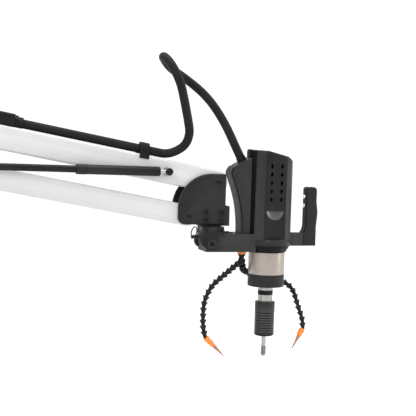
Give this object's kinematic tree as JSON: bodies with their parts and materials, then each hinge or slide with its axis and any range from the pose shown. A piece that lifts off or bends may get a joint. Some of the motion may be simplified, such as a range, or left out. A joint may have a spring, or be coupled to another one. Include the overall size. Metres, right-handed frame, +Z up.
{
  "type": "tapping arm machine",
  "caption": "Electric tapping head on a parallelogram swing arm with a gas spring, tilting knuckle, hand grip, cable conduit and ball-segment coolant hoses.",
  "frame": {"origin": "centre of the base flange's underside, on the column's axis", "axes": "+Z up along the column, +X from the column towards the tapping head, -Y the side of the gas spring"},
  "size_m": [1.0204, 0.2, 0.8261],
  "materials": {
    "white_paint": "semi-gloss powder coat",
    "dark_paint": "fine-textured powder coat",
    "blackened_steel": "black oxide, satin",
    "bright_steel": "ground and turned",
    "satin_aluminium": "satin",
    "champagne_aluminium": "satin champagne anodised",
    "black_plastic": "satin, fine grain",
    "grey_plastic": "satin",
    "green_board": "solder mask",
    "orange_plastic": "moulded",
    "black_conduit": "ribbed"
  },
  "bodies": {
    "base": {"base_flange": "dark_paint", "column_tube": "dark_paint", "column_bearings": "bright_steel"},
    "turret": {"turret_shaft": "blackened_steel", "turret_block": "dark_paint", "turret_plates": "dark_paint", "turret_screws": "blackened_steel", "rear_pins": "blackened_steel"},
    "upper_arm": {"upper_arm_tube": "white_paint", "upper_arm_fittings": "satin_aluminium", "cable_clip": "black_plastic", "cable_entry": "satin_aluminium", "cable_on_arm": "black_conduit", "cable_bend": "black_conduit"},
    "lower_arm": {"lower_arm_tube": "white_paint", "lower_arm_fittings": "satin_aluminium"},
    "spring_cylinder": {"spring_tube": "blackened_steel", "spring_fittings": "bright_steel"},
    "spring_rod": {"spring_rod": "bright_steel"},
    "knuckle": {"knuckle_plates": "dark_paint", "hub_block": "dark_paint", "knuckle_screws": "blackened_steel", "front_pins": "blackened_steel", "swivel_bearings": "bright_steel", "cable_rise": "black_conduit"},
    "swivel": {"swivel_shaft": "blackened_steel", "yoke": "blackened_steel", "cheek_plates": "blackened_steel", "yoke_fasteners": "blackened_steel"},
    "index_plunger": {"index_plunger": "bright_steel"},
    "head": {"beam": "dark_paint", "motor_cowl": "black_plastic", "cowl_skirt": "black_plastic", "fairing": "black_plastic", "fairing_back": "grey_plastic", "control_board": "green_board", "motor_stator": "bright_steel", "gearbox_body": "champagne_aluminium", "ring_gear": "bright_steel", "gearbox_collar": "black_plastic", "handle_arm": "dark_paint", "handle_grip": "black_plastic", "coolant_splitter": "black_plastic", "cable_fall": "black_conduit"},
    "rotor": {"motor_rotor": "bright_steel", "sun_gear": "bright_steel"},
    "planet_1": {"planet_gear_1": "bright_steel"},
    "planet_2": {"planet_gear_2": "bright_steel"},
    "planet_3": {"planet_gear_3": "bright_steel"},
    "spindle": {"planet_carrier": "bright_steel", "spindle": "bright_steel", "chuck_body": "bright_steel", "tap": "bright_steel"},
    "chuck_sleeve": {"chuck_sleeve": "blackened_steel"},
    "button_upper": {"button_upper": "bright_steel"},
    "button_lower": {"button_lower": "bright_steel"},
    "hose_left": {"hose_left": "black_plastic"},
    "hose_right": {"hose_right": "black_plastic"},
    "nozzle_left": {"nozzle_left": "orange_plastic"},
    "nozzle_right": {"nozzle_right": "orange_plastic"}
  },
  "joints": [
    {"name": "column_swivel", "type": "hinge", "parent": "base", "child": "turret", "pos_m": [0, 0, 0.45], "axis": [0, 0, 1], "range_deg": [-150, 150]},
    {"name": "arm_lift", "type": "hinge", "parent": "turret", "child": "upper_arm", "pos_m": [0.0686, 0, 0.6364], "axis": [0, -1, 0], "range_deg": [-20, 20]},
    {"name": "lower_arm_pivot", "type": "hinge", "parent": "turret", "child": "lower_arm", "pos_m": [0, 0, 0.557], "axis": [0, -1, 0], "range_deg": [-20, 20]},
    {"name": "knuckle_level", "type": "hinge", "parent": "upper_arm", "child": "knuckle", "pos_m": [0.65948, 0, 0.53221], "axis": [0, -1, 0], "range_deg": [-20, 20], "deforming": ["cable_bend"]},
    {"name": "spring_cylinder_tilt", "type": "hinge", "parent": "upper_arm", "child": "spring_cylinder", "pos_m": [0.53934, -0.04, 0.5534], "axis": [0, -1, 0], "range_deg": [-2.5, 2.5]},
    {"name": "spring_rod_tilt", "type": "hinge", "parent": "turret", "child": "spring_rod", "pos_m": [0, -0.04, 0.557], "axis": [0, -1, 0], "range_deg": [-17.5, 17.5]},
    {"name": "head_swivel", "type": "hinge", "parent": "knuckle", "child": "swivel", "pos_m": [0.64528, 0, 0.44981], "axis": [0, 0, 1], "range_deg": [-90, 90], "deforming": ["cable_rise"]},
    {"name": "head_tilt", "type": "hinge", "parent": "swivel", "child": "head", "pos_m": [0.64428, 0, 0.38981], "axis": [0, 1, 0], "range_deg": [0, 45], "deforming": ["cable_fall"]},
    {"name": "index_pin_slide", "type": "slide", "parent": "swivel", "child": "index_plunger", "axis": [1, 0, 0], "range_m": [0, 0.0055]},
    {"name": "spindle_spin", "type": "hinge", "parent": "head", "child": "spindle", "pos_m": [0.79729, 0, 0.23981], "axis": [0, 0, 1], "continuous": true},
    {"name": "rotor_spin", "type": "hinge", "parent": "head", "child": "rotor", "pos_m": [0.79729, 0, 0.44981], "axis": [0, 0, 1], "continuous": true},
    {"name": "chuck_sleeve_slide", "type": "slide", "parent": "spindle", "child": "chuck_sleeve", "axis": [0, 0, 1], "range_m": [0, 0.005], "stiffness_N_per_m": 2000, "springref_m": -0.005},
    {"name": "button_upper_press", "type": "slide", "parent": "head", "child": "button_upper", "axis": [1, 0, 0], "range_m": [0, 0.0025], "stiffness_N_per_m": 300, "springref_m": -0.001},
    {"name": "button_lower_press", "type": "slide", "parent": "head", "child": "button_lower", "axis": [1, 0, 0], "range_m": [0, 0.0025], "stiffness_N_per_m": 300, "springref_m": -0.001},
    {"name": "hose_left_swing", "type": "hinge", "parent": "head", "child": "hose_left", "pos_m": [0.72528, -0.003, 0.33781], "axis": [0, 0, 1], "range_deg": [-20, 20]},
    {"name": "hose_right_swing", "type": "hinge", "parent": "head", "child": "hose_right", "pos_m": [0.74028, 0.006, 0.33381], "axis": [0, 0, 1], "range_deg": [0, 20]},
    {"name": "nozzle_left_swivel", "type": "hinge", "parent": "hose_left", "child": "nozzle_left", "pos_m": [0.64628, -0.02, 0.16531], "axis": [0, 1, 0], "range_deg": [-20, 20]},
    {"name": "nozzle_right_swivel", "type": "hinge", "parent": "hose_right", "child": "nozzle_right", "pos_m": [0.90278, 0.0175, 0.17231], "axis": [0, 1, 0], "range_deg": [-20, 20]},
    {"name": "planet_1_spin", "type": "hinge", "parent": "spindle", "child": "planet_1", "pos_m": [0.81888, 0, 0.32981], "axis": [0, 0, 1], "continuous": true},
    {"name": "planet_2_spin", "type": "hinge", "parent": "spindle", "child": "planet_2", "pos_m": [0.78648, 0.01871, 0.32981], "axis": [0, 0, 1], "continuous": true},
    {"name": "planet_3_spin", "type": "hinge", "parent": "spindle", "child": "planet_3", "pos_m": [0.78648, -0.01871, 0.32981], "axis": [0, 0, 1], "continuous": true}
  ],
  "couplings": [
    {"joint": "lower_arm_pivot", "follows": "arm_lift", "ratio": 1},
    {"joint": "knuckle_level", "follows": "arm_lift", "ratio": -1},
    {"joint": "spring_cylinder_tilt", "follows": "arm_lift", "ratio": -0.125},
    {"joint": "spring_rod_tilt", "follows": "arm_lift", "ratio": 0.875},
    {"joint": "rotor_spin", "follows": "spindle_spin", "ratio": 4},
    {"joint": "planet_1_spin", "follows": "spindle_spin", "ratio": -3},
    {"joint": "planet_2_spin", "follows": "spindle_spin", "ratio": -3},
    {"joint": "planet_3_spin", "follows": "spindle_spin", "ratio": -3}
  ]
}
